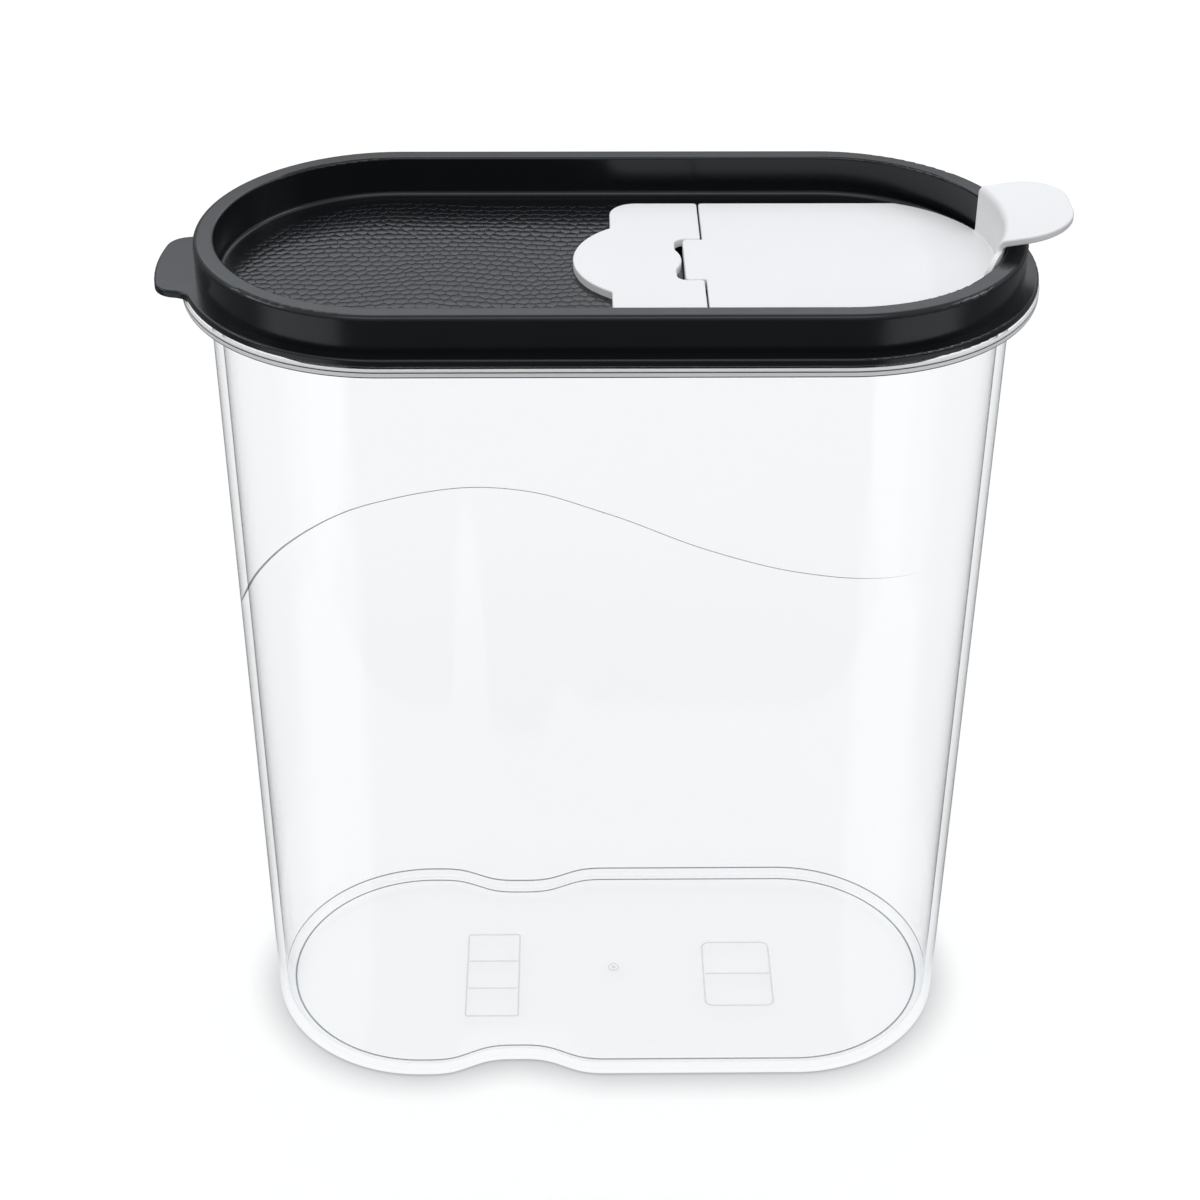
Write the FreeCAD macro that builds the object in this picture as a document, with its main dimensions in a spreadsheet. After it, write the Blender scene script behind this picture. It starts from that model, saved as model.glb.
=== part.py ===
import FreeCAD, Part
import math
import os
import re
import Sketcher

from FreeCAD import Vector

# A pantry container: a clear body of racetrack plan, a black lid with a sunken tray, and a white
# flip-top in the tray. Origin at the middle of the base, +Z up, the thumb tab towards +X.

doc = FreeCAD.newDocument("pantry_container")

# Driving dimensions in millimetres
SIZES = {
    # Clear body
    "end_spacing": 120.0,          # between the centres of the two round ends, shared by every outline
    "body_height": 259.1,
    "body_top_radius": 50.0,
    "body_base_radius": 49.0,
    "body_wall": 2.5,
    "body_floor": 2.2,
    "base_round": 2.0,             # outer edge of the base
    "base_fillet": 2.5,            # inner edge of the floor
    "body_rim_thickness": 2.1,
    "body_rim_edge": 0.8,
    "body_rim_lip": 0.35,          # how far the rim stands out past the lid's flange
    "dent_depth": 6.5,             # grip dents, deepest at the base and gone at the mouth
    "dent_half_width": 30.0,
    "dent_margin": 1.0,            # flat wall left between a dent and the round end
    # Lid
    "lid_gap": 0.3,
    "rim_overhang": 3.0,           # from the wall of the body out to the rim
    "rim_band": 5.6,
    "rim_height": 10.35,
    "rim_wall": 2.0,
    "rim_outer_round": 1.5,
    "rim_inner_round": 0.7,
    "flange_reach": 3.7,
    "flange_thickness": 2.25,
    "flange_edge": 0.7,
    "floor_step": 1.0,             # from the underside of the flange up to the tray floor
    "tray_fillet": 0.5,
    "lid_floor": 2.2,
    "plug_depth": 6.0,
    "plug_wall": 2.0,
    "plug_clearance": 0.7,
    "lift_reach": 7.5,
    "lift_half_width": 17.2,
    "lift_end_radius": 60.0,
    "lift_corner": 6.5,
    "lift_blend": 6.0,
    # Lid seal
    "seal_clearance": 0.45,
    "seal_seat": 0.9,              # depth of the groove that holds the seal
    "seal_height": 2.6,
    "seal_rise": 1.1,              # from the foot of the plug to the seal
    "seal_edge": 0.5,
    # Fixed hinge plate
    "plate_width": 25.0,
    "plate_thickness": 2.2,
    "plate_corner": 7.5,
    "plate_edge": 0.35,
    "lobe_reach": 10.4,
    "lobe_half_width": 20.0,
    "post_radius": 2.0,
    "post_depth": 1.5,
    "post_inset": 9.0,
    "post_clearance": 0.1,
    # Pour flap
    "seam_position": 25.0,
    "seam_gap": 0.55,
    "flap_floor_gap": 0.35,
    "flap_side_gap": 10.8,         # from the flap's straight sides to the wall of the tray
    "flap_end_margin": 2.5,        # how far the end radius is over the half width
    "flap_rim_clearance": 0.4,
    "flap_edge": 0.35,
    "seam_corner": 1.0,            # where the seam runs out at the front and back
    "opening_setback": 9.0,
    "opening_margin": 6.0,
    "opening_corner": 6.0,
    "lip_clearance": 0.5,
    "lip_wall": 1.5,
    "lip_depth": 3.0,
    "riser_wall": 1.3,
    "riser_foot": 0.8,
    "sweep_length": 9.0,           # how far the upright wall runs on past the tab at the front
    "sweep_rise": 1.2,             # height of that run over the rim
    "sweep_round": 7.0,
    "thumb_rise": 4.0,             # from the top of the rim to the tab, at the upright wall
    "thumb_tilt": 9.5,             # degrees that the tab slopes up towards its tip
    "thumb_reach": 11.2,
    "thumb_half_width": 18.0,
    "thumb_corner": 14.5,
    "thumb_thickness": 2.0,
    "thumb_bend": 2.0,
    "thumb_edge": 0.5,
    # Hinge
    "hinge_setback": 2.7,          # from the seam back to the pin
    "hinge_drop": 1.4,             # from the top of the plate down to the pin
    "pin_radius": 0.9,
    "pin_seat_clearance": 0.02,
    "pin_running_clearance": 0.05,
    "tongue_reach": 5.0,
    "tongue_half_width": 12.5,
    "tongue_corner": 1.5,
    "knuckle_radius": 1.8,
    "notch_gap": 0.35,
    "notch_end_gap": 2.3,
    "notch_corner": 3.0,
    "notch_bulge": 1.6,
    "notch_bulge_half_width": 6.0,
    "notch_blend": 2.0,
    "notch_mouth": 0.8,
    "cheek_width": 4.5,
    "well_wall": 1.5,
    "well_clearance": 0.5,
}

# Heights and places that follow from the driving dimensions
DERIVED = {
    "rim_radius": "body_top_radius + rim_overhang",
    "flange_radius": "rim_radius + flange_reach",
    "body_rim_radius": "flange_radius + body_rim_lip",
    "flange_bottom": "body_height + lid_gap",
    "flange_top": "flange_bottom + flange_thickness",
    "rim_top": "flange_top + rim_height",
    "tray_radius": "rim_radius - rim_band",
    "tray_floor": "flange_bottom + floor_step",
    "tray_depth": "rim_top - tray_floor",
    "floor_under": "tray_floor - lid_floor",
    "mouth_radius": "body_top_radius - body_wall",
    "plug_bottom": "body_height - plug_depth",
    "plug_radius": "mouth_radius - plug_clearance",
    "seal_bottom": "plug_bottom + seal_rise",
    "seal_inner": "plug_radius - seal_seat",
    "seal_outer": "mouth_radius - seal_clearance",
    "plate_left": "seam_position - plate_width",
    "plate_top": "tray_floor + plate_thickness",
    "flap_bottom": "tray_floor + flap_floor_gap",
    "flap_left": "seam_position + seam_gap",
    "flap_half_width": "tray_radius - flap_side_gap",
    "flap_end_radius": "flap_half_width + flap_end_margin",
    "flap_end_centre": "end_spacing / 2 + tray_radius - flap_rim_clearance - flap_end_radius",
    "opening_left": "seam_position + opening_setback",
    "opening_half_width": "flap_half_width - opening_margin",
    "opening_end_radius": "flap_end_radius - opening_margin",
    "riser_outer": "tray_radius - flap_rim_clearance",
    "riser_inner": "riser_outer - riser_wall",
    "thumb_level": "rim_top + thumb_rise",
    "thumb_tip": "end_spacing / 2 + rim_radius + thumb_reach",
    "hinge_position": "seam_position - hinge_setback",
    "hinge_height": "plate_top - hinge_drop",
    "tongue_left": "seam_position - tongue_reach",
    "tongue_swing": "sqrt((tongue_reach - hinge_setback) * (tongue_reach - hinge_setback)"
                    " + knuckle_radius * knuckle_radius)",
    "notch_left": "tongue_left - notch_end_gap",
    "notch_half_width": "tongue_half_width + notch_gap",
    "cheek_end": "notch_half_width + cheek_width",
    "well_left": "notch_left - well_clearance",
    "well_right": "flap_left + flap_edge + 2 * well_clearance",
    "well_half_width": "cheek_end + well_clearance",
    "well_floor": "hinge_height - tongue_swing - well_clearance",
    "well_depth": "tray_floor - well_floor",
    "lift_end": "-(end_spacing / 2 + flange_radius + lift_reach)",
    "lift_centre": "lift_end + lift_end_radius",
    "lobe_radius": "(lobe_half_width * lobe_half_width + lobe_reach * lobe_reach) / (2 * lobe_reach)",
    "bulge_radius": "(notch_bulge_half_width * notch_bulge_half_width + notch_bulge * notch_bulge)"
                    " / (2 * notch_bulge)",
}

OVERCUT = 1.0      # how far a cutting solid runs past the face that it opens

sheet = doc.addObject("Spreadsheet::Sheet", "Sizes")
for row, (alias, number) in enumerate(SIZES.items(), start=1):
    sheet.set("A%d" % row, alias)
    sheet.set("B%d" % row, str(number))
    sheet.setAlias("B%d" % row, alias)
doc.recompute()


def expression(text):
    """Write a line of plain size names as an expression on the sheet's cells."""
    def expand(match):
        word = match.group()
        if word in DERIVED:
            return "(" + expression(DERIVED[word]) + ")"
        return "Sizes." + word if word in SIZES else word
    return re.sub(r"[a-z_]+", expand, text)


def bind(thing, path, text):
    thing.setExpression(path, expression(text))


def value(text):
    return float(sheet.evalExpression(expression(text)))


# Sketched features
def new_body(label):
    body = doc.addObject("PartDesign::Body", label)
    body.Label = label
    return body


def new_sketch(body, name, height):
    ground = next(plane for plane in body.Origin.OriginFeatures if plane.Role == "XY_Plane")
    sketch = body.newObject("Sketcher::SketchObject", name)
    sketch.AttachmentSupport = [(ground, "")]
    sketch.MapMode = "FlatFace"
    bind(sketch, "AttachmentOffset.Base.z", height)
    return sketch


def drive(sketch, kind, places, text):
    index = sketch.addConstraint(Sketcher.Constraint(kind, *places, value(text)))
    bind(sketch, "Constraints[%d]" % index, text)


def draw_stadium(sketch, radius):
    """Two straight sides joined by two half circles."""
    half = value("end_spacing / 2")
    reach = value(radius)
    quarter = math.pi / 2
    up = Vector(0, 0, 1)
    outline = [
        Part.LineSegment(Vector(-half, -reach, 0), Vector(half, -reach, 0)),
        Part.ArcOfCircle(Part.Circle(Vector(half, 0, 0), up, reach), -quarter, quarter),
        Part.LineSegment(Vector(half, reach, 0), Vector(-half, reach, 0)),
        Part.ArcOfCircle(Part.Circle(Vector(-half, 0, 0), up, reach), quarter, 3 * quarter),
    ]
    front, right, back, left = [sketch.addGeometry(curve, False) for curve in outline]
    for first, second in ((front, right), (right, back), (back, left), (left, front)):
        sketch.addConstraint(Sketcher.Constraint("Tangent", first, 2, second, 1))
    sketch.addConstraint(Sketcher.Constraint("Symmetric", right, 3, left, 3, -1, 1))
    sketch.addConstraint(Sketcher.Constraint("PointOnObject", right, 3, -1))
    sketch.addConstraint(Sketcher.Constraint("Equal", right, left))
    drive(sketch, "DistanceX", (left, 3, right, 3), "end_spacing")
    drive(sketch, "Radius", (right,), radius)


def draw_rectangle(sketch, left, right, half_width):
    """A rectangle across the X axis; left and right are distances along X from the origin."""
    x0, x1, half = value(left), value(right), value(half_width)
    corners = [Vector(x0, -half, 0), Vector(x1, -half, 0), Vector(x1, half, 0), Vector(x0, half, 0)]
    sides = []
    for index, corner in enumerate(corners):
        sides.append(sketch.addGeometry(Part.LineSegment(corner, corners[(index + 1) % 4]), False))
    for index, side in enumerate(sides):
        sketch.addConstraint(Sketcher.Constraint("Coincident", side, 2, sides[(index + 1) % 4], 1))
        sketch.addConstraint(Sketcher.Constraint("Vertical" if index % 2 else "Horizontal", side))
    drive(sketch, "DistanceX", (-1, 1, sides[0], 1), left)
    drive(sketch, "DistanceX", (-1, 1, sides[1], 1), right)
    drive(sketch, "DistanceY", (sides[0], 1, -1, 1), half_width)
    drive(sketch, "DistanceY", (-1, 1, sides[2], 1), half_width)


def draw_circle(sketch, x, y, radius):
    circle = Part.Circle(Vector(value(x), value(y), 0), Vector(0, 0, 1), value(radius))
    index = sketch.addGeometry(circle, False)
    drive(sketch, "DistanceX", (-1, 1, index, 3), x)
    drive(sketch, "DistanceY", (-1, 1, index, 3), y)
    drive(sketch, "Radius", (index,), radius)


def draw_round_ended(sketch, straight, half_width, centre, radius, way):
    """A straight edge across X, two straight sides and a round end, which lies towards way * X."""
    start, middle_x, reach = value(straight), value(centre), value(radius)
    half = way * value(half_width)
    sweep = math.asin(abs(half) / reach)
    far = middle_x + way * reach * math.cos(sweep)
    ahead = 0 if way > 0 else math.pi
    circle = Part.Circle(Vector(middle_x, 0, 0), Vector(0, 0, 1), reach)
    outline = [
        Part.LineSegment(Vector(start, half, 0), Vector(start, -half, 0)),
        Part.LineSegment(Vector(start, -half, 0), Vector(far, -half, 0)),
        Part.ArcOfCircle(circle, ahead - sweep, ahead + sweep),
        Part.LineSegment(Vector(far, half, 0), Vector(start, half, 0)),
    ]
    edge, first_side, end, second_side = [sketch.addGeometry(curve, False) for curve in outline]
    for first, second in ((edge, first_side), (first_side, end), (end, second_side), (second_side, edge)):
        sketch.addConstraint(Sketcher.Constraint("Coincident", first, 2, second, 1))
    sketch.addConstraint(Sketcher.Constraint("Vertical", edge))
    for side in (first_side, second_side):
        sketch.addConstraint(Sketcher.Constraint("Horizontal", side))
    sketch.addConstraint(Sketcher.Constraint("PointOnObject", end, 3, -1))
    upper, lower = (1, 2) if way > 0 else (2, 1)
    drive(sketch, "DistanceX", (-1, 1, edge, 1), straight)
    drive(sketch, "DistanceX", (-1, 1, end, 3), centre)
    drive(sketch, "DistanceY", (-1, 1, edge, upper), half_width)
    drive(sketch, "DistanceY", (edge, lower, -1, 1), half_width)
    drive(sketch, "Radius", (end,), radius)


def pad(body, sketch, length):
    feature = body.newObject("PartDesign::Pad", sketch.Name + "_pad")
    feature.Profile = sketch
    bind(feature, "Length", length)
    return feature


def pocket(body, sketch, depth):
    """Cut downwards from the sketch, and make sure that it removes something."""
    doc.recompute()
    before = body.Shape.Volume
    feature = body.newObject("PartDesign::Pocket", sketch.Name + "_pocket")
    feature.Profile = sketch
    bind(feature, "Length", depth)
    doc.recompute()
    if not body.Shape.Volume < before:
        raise RuntimeError(feature.Name + " cuts nothing")
    return feature


def stadium_pad(body, name, height, radius, length):
    sketch = new_sketch(body, name, height)
    draw_stadium(sketch, radius)
    return pad(body, sketch, length)


def stadium_pocket(body, name, height, radii, depth):
    sketch = new_sketch(body, name, height)
    for radius in radii:
        draw_stadium(sketch, radius)
    return pocket(body, sketch, depth)


def edge_names(shape, test):
    return ["Edge%d" % number for number, edge in enumerate(shape.Edges, start=1) if test(edge)]


def round_edges(body, name, test, radius):
    """Round those edges of the body's last feature that pass the test."""
    doc.recompute()
    base = body.Tip
    names = edge_names(base.Shape, test)
    if not names:
        raise RuntimeError("no edges for " + name)
    feature = body.newObject("PartDesign::Fillet", name)
    feature.Base = (base, names)
    bind(feature, "Radius", radius)
    return feature


# Ways to tell edges apart
def middle(edge):
    return edge.valueAt((edge.FirstParameter + edge.LastParameter) / 2)


def near(first, second):
    return abs(first - second) < 1e-4


def level_at(edge, height):
    return all(near(vertex.Point.z, height) for vertex in edge.Vertexes) and near(middle(edge).z, height)


def upright(edge):
    ends = [vertex.Point for vertex in edge.Vertexes]
    return len(ends) == 2 and near(ends[0].x, ends[1].x) and near(ends[0].y, ends[1].y)


def stadium_distance(point):
    """Distance in plan from the line that joins the two end centres."""
    past_end = max(abs(point.x) - value("end_spacing / 2"), 0.0)
    return math.hypot(past_end, point.y)


def on_stadium(edge, height, radius):
    return level_at(edge, value(height)) and near(stadium_distance(middle(edge)), value(radius))


# Plain solids and their combinations
def box(name, low, high):
    """A block between two corners, each given as three size expressions."""
    solid = doc.addObject("Part::Box", name)
    for side, axis, start, end in zip(("Length", "Width", "Height"), "xyz", low, high):
        bind(solid, side, "(%s) - (%s)" % (end, start))
        bind(solid, "Placement.Base." + axis, start)
    return solid


def post(name, x, y, radius, bottom, top):
    solid = doc.addObject("Part::Cylinder", name)
    bind(solid, "Radius", radius)
    bind(solid, "Height", "(%s) - (%s)" % (top, bottom))
    for axis, place in zip("xyz", (x, y, bottom)):
        bind(solid, "Placement.Base." + axis, place)
    return solid


def rod_across(name, x, z, radius, half_length):
    """A round rod along Y, centred on the XZ plane."""
    solid = doc.addObject("Part::Cylinder", name)
    solid.Placement.Rotation = FreeCAD.Rotation(Vector(1, 0, 0), -90)
    bind(solid, "Radius", radius)
    bind(solid, "Height", "2 * (%s)" % half_length)
    for axis, place in zip("xyz", (x, "-(%s)" % half_length, z)):
        bind(solid, "Placement.Base." + axis, place)
    return solid


def combine(kind, name, first, second):
    result = doc.addObject("Part::" + kind, name)
    result.Base = first
    result.Tool = second
    result.Refine = True
    return result


def fuse(name, *solids):
    result = doc.addObject("Part::MultiFuse", name)
    result.Shapes = list(solids)
    result.Refine = True
    return result


def cut(name, base, *tools):
    tool = tools[0] if len(tools) == 1 else fuse(name + "_tools", *tools)
    return combine("Cut", name, base, tool)


def common(name, first, second):
    return combine("Common", name, first, second)


def rounded(name, base, test, radius):
    """Round those edges of a solid that pass the test."""
    doc.recompute()
    amount = value(radius)
    feature = doc.addObject("Part::Fillet", name)
    feature.Base = base
    numbers = [number for number, edge in enumerate(base.Shape.Edges, start=1) if test(edge)]
    if not numbers:
        raise RuntimeError("no edges for " + name)
    feature.Edges = [(number, amount, amount) for number in numbers]
    return feature


def round_ended_slab(name, left, half_width, radius, bottom, top):
    """A slab from a straight left edge to a round right end about the flap's end centre."""
    right = "flap_end_centre + (%s)" % radius
    band = box(name + "_band", (left, "-(%s)" % half_width, bottom), (right, half_width, top))
    straight = box(name + "_straight", (left, "-(%s)" % radius, bottom), ("flap_end_centre", radius, top))
    end = post(name + "_end", "flap_end_centre", "0", radius, bottom, top)
    return common(name, fuse(name + "_whole", straight, end), band)


# Clear body
def dented_side(radius, dent, height, side):
    """One long side, at y = side * radius, drawn inwards over the width of the dent.

    A cubic spline on X, whose three displaced middle poles make a smooth hollow of the dent's width.
    """
    half = value("end_spacing / 2")
    step = value("dent_half_width") / 3
    centre = -half + value("dent_margin") + value("dent_half_width")
    inner_knots = [centre + step * count for count in range(-3, 4)]
    clamped = [-half] * 4 + inner_knots + [half] * 4
    pole_count = len(clamped) - 4
    poles = []
    for index in range(pole_count):
        x = sum(clamped[index + 1:index + 4]) / 3
        inward = dent if abs(index - pole_count // 2) <= 1 else 0.0
        poles.append(Vector(x, side * (radius - inward), height))
    knots = [-half] + inner_knots + [half]
    times = [4] + [1] * len(inner_knots) + [4]
    curve = Part.BSplineCurve()
    curve.buildFromPolesMultsKnots(poles, times, knots, False, 3)
    return curve.toShape()


def body_outline(radius, dent, height):
    half = value("end_spacing / 2")
    ends = []
    for side in (1, -1):
        start = Vector(side * half, -radius, height)
        tip = Vector(side * (half + radius), 0, height)
        stop = Vector(side * half, radius, height)
        ends.append(Part.Arc(start, tip, stop).toShape())
    front = dented_side(radius, dent, height, -1)
    back = dented_side(radius, dent, height, 1)
    return Part.Wire(Part.__sortEdges__([front, ends[0], back, ends[1]]))


def tapered_block(inset, bottom, top, edge_radius):
    """The body's form, drawn in by inset all round, between two heights, its lower edge rounded."""
    height = value("body_height")
    base_radius = value("body_base_radius")
    outlines = []
    for level in (bottom, top):
        share = level / height
        radius = base_radius + (value("body_top_radius") - base_radius) * share - inset
        dent = value("dent_depth") * (1 - min(share, 1.0))
        outlines.append(body_outline(radius, dent, level))
    block = Part.makeLoft(outlines, True, True)
    lower_edges = [edge for edge in block.Edges if level_at(edge, bottom)]
    return block.makeFillet(edge_radius, lower_edges)


def stadium_solid(radius, bottom, top):
    outline = body_outline(radius, 0.0, bottom)
    return Part.Face(outline).extrude(Vector(0, 0, top - bottom))


def make_container_body():
    top = value("body_height")
    wall = value("body_wall")
    rim = stadium_solid(value("body_rim_radius"), value("body_height - body_rim_thickness"), top)
    rim_edges = [edge for edge in rim.Edges if not upright(edge)]
    rim = rim.makeFillet(value("body_rim_edge"), rim_edges)
    outer = tapered_block(0.0, 0.0, top, value("base_round"))
    inner = tapered_block(wall, value("body_floor"), top + OVERCUT, value("base_fillet"))
    feature = doc.addObject("Part::Feature", "container_body")
    feature.Label = "container_body"
    feature.Shape = outer.fuse(rim).cut(inner).removeSplitter()
    feature.Placement = FreeCAD.Placement()
    return feature


# Lid
def make_lid():
    body = new_body("lid")
    stadium_pad(body, "flange", "flange_bottom", "flange_radius", "flange_thickness")
    lift = new_sketch(body, "lift_tab", "flange_bottom")
    draw_round_ended(lift, "-end_spacing / 2", "lift_half_width", "lift_centre", "lift_end_radius", -1)
    pad(body, lift, "flange_thickness")
    half = value("lift_half_width")
    round_edges(
        body, "lift_corners",
        lambda edge: upright(edge) and near(abs(middle(edge).y), half)
        and stadium_distance(middle(edge)) > value("flange_radius + lift_corner / 2"),
        "lift_corner")
    round_edges(
        body, "lift_blends",
        lambda edge: upright(edge) and near(abs(middle(edge).y), half)
        and near(stadium_distance(middle(edge)), value("flange_radius")),
        "lift_blend")
    round_edges(
        body, "flange_edges",
        lambda edge: level_at(edge, value("flange_top")) or level_at(edge, value("flange_bottom")),
        "flange_edge")
    stadium_pad(body, "rim", "flange_bottom", "rim_radius", "flange_thickness + rim_height")
    stadium_pad(body, "plug", "plug_bottom", "plug_radius", "flange_bottom - plug_bottom")
    stadium_pocket(body, "tray", "rim_top", ["tray_radius"], "tray_depth")
    stadium_pocket(
        body, "plug_hollow", "floor_under", ["plug_radius - plug_wall"], "floor_under - plug_bottom")
    stadium_pocket(
        body, "rim_channel", "rim_top - rim_wall", ["rim_radius - rim_wall", "tray_radius + rim_wall"],
        "rim_top - rim_wall - flange_bottom")
    stadium_pocket(
        body, "seal_groove", "seal_bottom + seal_height", ["mouth_radius", "seal_inner"], "seal_height")
    housing = new_sketch(body, "well_housing", "well_floor - well_wall")
    draw_rectangle(
        housing, "well_left - well_wall", "well_right + well_wall", "well_half_width + well_wall")
    pad(body, housing, "floor_under - well_floor + well_wall")
    well = new_sketch(body, "well", "tray_floor")
    draw_rectangle(well, "well_left", "well_right", "well_half_width")
    pocket(body, well, "well_depth")
    opening = new_sketch(body, "pour_opening", "tray_floor")
    draw_round_ended(
        opening, "opening_left", "opening_half_width", "flap_end_centre", "opening_end_radius", 1)
    pocket(body, opening, "lid_floor")
    holes = new_sketch(body, "post_holes", "tray_floor")
    for y in ("flap_half_width - post_inset", "-(flap_half_width - post_inset)"):
        draw_circle(holes, "plate_left + post_inset", y, "post_radius + post_clearance")
    pocket(body, holes, "post_depth + post_clearance")
    left = value("opening_left")
    round_edges(body, "opening_corners", lambda edge: upright(edge) and near(middle(edge).x, left)
                and middle(edge).z < value("tray_floor"), "opening_corner")
    round_edges(body, "rim_outer_edge", lambda edge: on_stadium(edge, "rim_top", "rim_radius"),
                "rim_outer_round")
    round_edges(body, "rim_inner_edge", lambda edge: on_stadium(edge, "rim_top", "tray_radius"),
                "rim_inner_round")
    round_edges(body, "tray_edge", lambda edge: on_stadium(edge, "tray_floor", "tray_radius"),
                "tray_fillet")
    return body


def make_lid_seal():
    body = new_body("lid_seal")
    ring = new_sketch(body, "seal_ring", "seal_bottom")
    draw_stadium(ring, "seal_outer")
    draw_stadium(ring, "seal_inner")
    pad(body, ring, "seal_height")
    round_edges(
        body, "seal_edges",
        lambda edge: near(stadium_distance(middle(edge)), value("seal_outer")) and not upright(edge),
        "seal_edge")
    return body


# Fixed hinge plate
def make_hinge_plate():
    low, high = "tray_floor", "plate_top"
    slab = box("plate_slab", ("plate_left", "-flap_half_width", low),
               ("seam_position", "flap_half_width", high))
    left = value("plate_left")
    slab = rounded("plate_slab_corners", slab,
                   lambda edge: upright(edge) and near(middle(edge).x, left), "plate_corner")
    seam = value("seam_position")
    slab = rounded("plate_seam_corners", slab,
                   lambda edge: upright(edge) and near(middle(edge).x, seam), "seam_corner")
    disc = post("lobe_disc", "plate_left - lobe_reach + lobe_radius", "0", "lobe_radius", low, high)
    window = box("lobe_window", ("plate_left - lobe_reach", "-lobe_half_width", low),
                 ("plate_left + lobe_reach", "lobe_half_width", high))
    lobe = common("lobe", disc, window)
    notch = box("notch_block", ("notch_left", "-(notch_half_width)", "well_floor"),
                ("seam_position + seam_gap", "notch_half_width", "plate_top + plate_thickness"))
    notch_x = value("notch_left")
    notch = rounded("notch_corners", notch,
                    lambda edge: upright(edge) and near(middle(edge).x, notch_x), "notch_corner")
    bulge = post("notch_bulge_round", "notch_left + notch_bulge - bulge_radius", "0", "bulge_radius",
                 "well_floor", "plate_top + plate_thickness")
    bulge_end = value("notch_bulge_half_width")
    notch = rounded("notch_blends", cut("notch", notch, bulge),
                    lambda edge: upright(edge) and near(abs(middle(edge).y), bulge_end), "notch_blend")
    top = cut("plate_outline", fuse("plate_and_lobe", slab, lobe), notch)
    mouth = value("notch_half_width")
    top = rounded("notch_mouth_corners", top, lambda edge: upright(edge) and near(middle(edge).x, seam)
                  and near(abs(middle(edge).y), mouth), "notch_mouth")
    top_height = value("plate_top")
    top = rounded("plate_edges", top, lambda edge: level_at(edge, top_height), "plate_edge")
    pieces = [top]
    for name, sign in (("front", "-"), ("back", "")):
        ends = sorted((sign + "(notch_half_width)", sign + "(cheek_end)"), key=value)
        pieces.append(box(
            "cheek_" + name, ("hinge_position - knuckle_radius", ends[0], "hinge_height - knuckle_radius"),
            ("hinge_position + knuckle_radius", ends[1], "plate_top - plate_edge")))
        pieces.append(post(
            "plate_post_" + name, "plate_left + post_inset", sign + "(flap_half_width - post_inset)",
            "post_radius", "tray_floor - post_depth", "plate_top - plate_edge"))
    bore = rod_across("cheek_bore", "hinge_position", "hinge_height", "pin_radius + pin_seat_clearance",
                      "cheek_end")
    plate = cut("hinge_plate", fuse("plate_with_cheeks", *pieces), bore)
    plate.Label = "hinge_plate"
    return plate


def make_hinge_pin():
    pin = rod_across("hinge_pin", "hinge_position", "hinge_height", "pin_radius", "cheek_end")
    pin.Label = "hinge_pin"
    return pin


# Pour flap
def corner_arc(corner, first, second, radius):
    """Start, middle and end of the arc that rounds a corner between two directions away from it."""
    half = first.getAngle(second) / 2
    inward = (first + second).normalize()
    start = corner + first * (radius / math.tan(half))
    stop = corner + second * (radius / math.tan(half))
    return start, corner + inward * (radius / math.sin(half) - radius), stop


def thumb_section():
    """The upright wall and its tab cut lengthwise: one face in the XZ plane."""
    centre = value("end_spacing / 2")
    inner, outer = centre + value("riser_inner"), centre + value("riser_outer")
    foot, level = value("flap_bottom"), value("thumb_level")
    tilt = math.radians(value("thumb_tilt"))
    up, back = Vector(0, 0, 1), Vector(-1, 0, 0)
    along = Vector(math.cos(tilt), 0, math.sin(tilt))
    drop = up * (value("thumb_thickness") / math.cos(tilt))
    top_corner = Vector(inner, 0, level)
    under_corner = Vector(outer, 0, level + (outer - inner) * math.tan(tilt)) - drop
    cove = corner_arc(Vector(inner, 0, value("plate_top")), back, up, value("riser_foot"))
    bend = corner_arc(top_corner, -up, along, value("thumb_bend"))
    hollow = corner_arc(under_corner, along, -up, value("riser_wall"))
    past_tip = top_corner + along * ((value("thumb_tip") + OVERCUT - inner) / math.cos(tilt))
    outer_foot, inner_foot = Vector(outer, 0, foot), Vector(cove[0].x, 0, foot)
    edges = [Part.Arc(*arc).toShape() for arc in (cove, bend, hollow)]
    for points in ((cove[2], bend[0]), (bend[2], past_tip, past_tip - drop, hollow[0]),
                   (hollow[2], outer_foot, inner_foot, cove[0])):
        edges += [Part.makeLine(first, second) for first, second in zip(points, points[1:])]
    return Part.Face(Part.Wire(Part.__sortEdges__(edges)))


def make_thumb_tab():
    """The upright wall inside the rim and the tab that reaches over the rim from its top."""
    centre = "end_spacing / 2"
    ring = doc.addObject("Part::Feature", "thumb_ring")
    ring.Shape = thumb_section().revolve(Vector(value(centre), 0, 0), Vector(0, 0, 1), 360)
    window = box("thumb_window", (centre, "-thumb_half_width", "flap_bottom - thumb_thickness"),
                 ("thumb_tip", "thumb_half_width", "thumb_level + thumb_reach"))
    tip = value("thumb_tip")
    window = rounded("thumb_corners", window, lambda edge: upright(edge) and near(middle(edge).x, tip),
                     "thumb_corner")
    sweep_front, sweep_top = "-(thumb_half_width + sweep_length)", "rim_top + sweep_rise"
    sweep = box("sweep_block", (centre, sweep_front, "flap_bottom - thumb_thickness"),
                ("thumb_tip - thumb_corner", "0", sweep_top))
    front, top = value(sweep_front), value(sweep_top)
    sweep = rounded("sweep_end", sweep, lambda edge: level_at(edge, top) and near(middle(edge).y, front),
                    "sweep_round")
    tab = common("thumb_tab", ring, fuse("thumb_outline", window, sweep))

    def outer_edge(edge):
        point = middle(edge)
        over_rim = stadium_distance(point) > value("rim_radius") and point.z > value("rim_top")
        return over_rim and not upright(edge)
    return rounded("thumb_edges", tab, outer_edge, "thumb_edge")


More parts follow.
